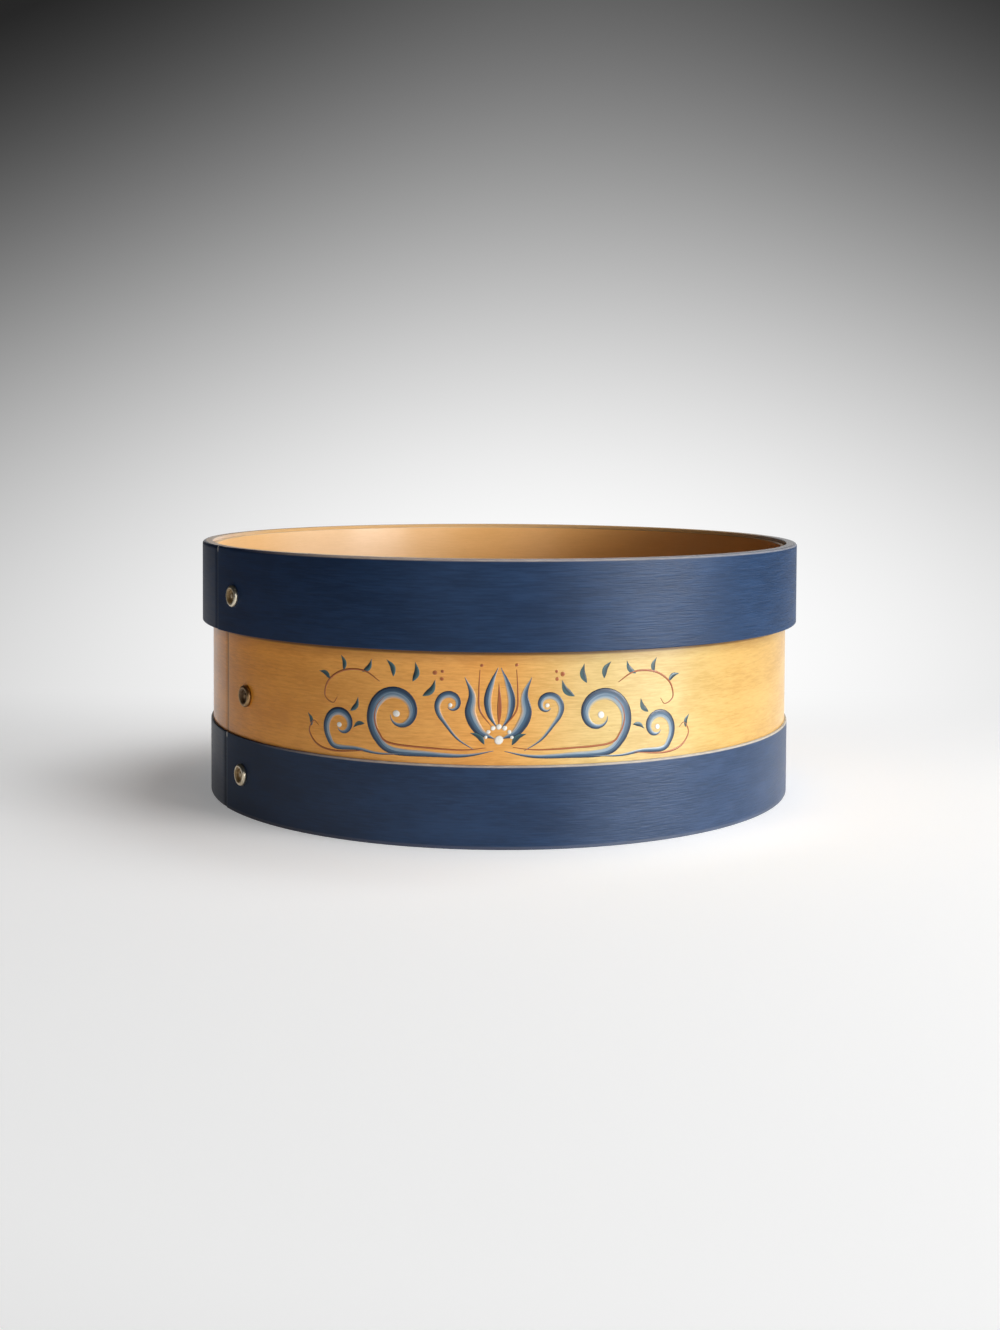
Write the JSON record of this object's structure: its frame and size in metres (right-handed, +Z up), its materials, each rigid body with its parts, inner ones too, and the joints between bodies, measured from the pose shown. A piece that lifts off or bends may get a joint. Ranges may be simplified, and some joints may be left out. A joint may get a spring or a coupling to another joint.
{
  "type": "round bentwood box",
  "caption": "Open round bentwood box: a lapped honey wall, painted rim and base hoops, brass tubular rivets beside the seams and a pegged base board.",
  "frame": {"origin": "middle of the footprint, on the surface that the box stands on", "axes": "+Z up along the box's axis, -Y to the front as pictured, +X to the viewer's right"},
  "size_m": [0.25, 0.25, 0.103],
  "materials": {
    "honey_wood": "clear satin varnish over bent wood, grain round the box",
    "navy_paint": "satin navy paint over bent wood",
    "pale_wood": "plain planed wood",
    "brass": "rolled brass, slightly worn"
  },
  "bodies": {
    "root": {"wall_band": "honey_wood", "rim_hoop": "navy_paint", "base_hoop": "navy_paint", "base_board": "pale_wood", "base_pegs": "pale_wood", "rim_rivet": "brass", "wall_rivet": "brass", "base_rivet": "brass", "rim_washer": "brass", "wall_washer": "brass", "base_washer": "brass"}
  },
  "joints": []
}
